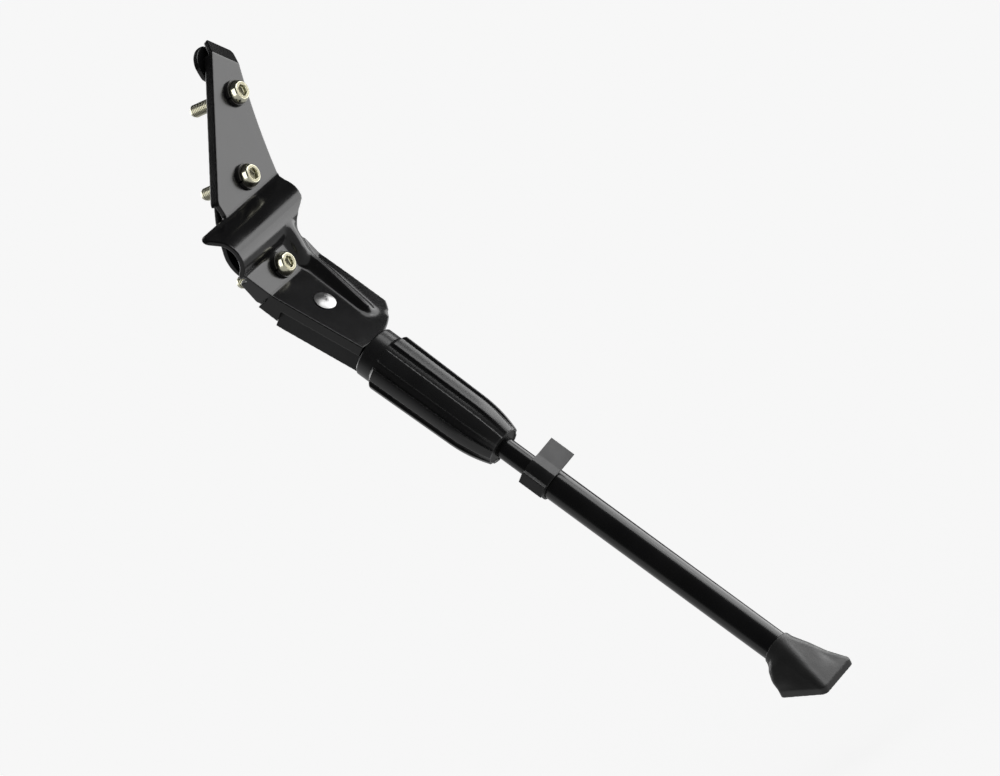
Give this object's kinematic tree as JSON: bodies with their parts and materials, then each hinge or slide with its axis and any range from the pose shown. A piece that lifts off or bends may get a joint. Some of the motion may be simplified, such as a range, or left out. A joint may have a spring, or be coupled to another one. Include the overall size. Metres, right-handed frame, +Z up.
{
  "type": "bicycle kickstand",
  "caption": "Adjustable bicycle side stand: pressed clamp plates for the stays, sprung folding leg with fluted sleeve, telescopic tube with length clip and rubber foot.",
  "frame": {"origin": "on the axis of the chainstay, half way along the front plate's channel", "axes": "+X along the chainstay towards the rear of the bicycle, -Y outwards away from the wheel, +Z up along the clamp plates"},
  "size_m": [0.0988, 0.2103, 0.3619],
  "materials": {
    "black_gloss": "gloss black enamel",
    "dark_satin": "satin dark grey",
    "zinc": "bright zinc plate",
    "bright_steel": "bright steel",
    "black_satin": "satin black enamel",
    "spring_steel": "oiled spring steel",
    "sleeve_plastic": "matte dark grey moulding",
    "bush_plastic": "matte black moulding",
    "clip_plastic": "matte black spring clip",
    "foot_rubber": "matte black rubber"
  },
  "bodies": {
    "bracket": {"front_plate": "black_gloss", "pivot_cover": "dark_satin", "clamp_bolts": "zinc", "lock_washers": "zinc", "pivot_rivet": "bright_steel", "rivet_washer": "bright_steel"},
    "clamp_jaw": {"rear_plate": "black_gloss"},
    "leg": {"leg_rod": "black_satin", "spring_seat": "bright_steel", "retaining_ring": "spring_steel", "detent_spring": "spring_steel"},
    "sleeve": {"grip_sleeve": "sleeve_plastic", "sleeve_bush": "bush_plastic"},
    "lower_leg": {"leg_tube": "black_satin", "length_clip": "clip_plastic", "foot": "foot_rubber"}
  },
  "joints": [
    {"name": "leg_swing", "type": "hinge", "parent": "bracket", "child": "leg", "pos_m": [-0.0021, -0.01063, -0.04316], "axis": [0, -0.829, 0.5592], "range_deg": [0, 96]},
    {"name": "sleeve_slide", "type": "slide", "parent": "leg", "child": "sleeve", "axis": [-0.0915, -0.5568, -0.8256], "range_m": [0, 0.006], "stiffness_N_per_m": 6500, "springref_m": -0.005, "deforming": ["detent_spring"]},
    {"name": "leg_extend", "type": "slide", "parent": "leg", "child": "lower_leg", "axis": [-0.0915, -0.5568, -0.8256], "range_m": [0, 0.04], "deforming": ["length_clip"]},
    {"name": "clamp_open", "type": "slide", "parent": "bracket", "child": "clamp_jaw", "axis": [0, 1, 0], "range_m": [0, 0.014]}
  ]
}
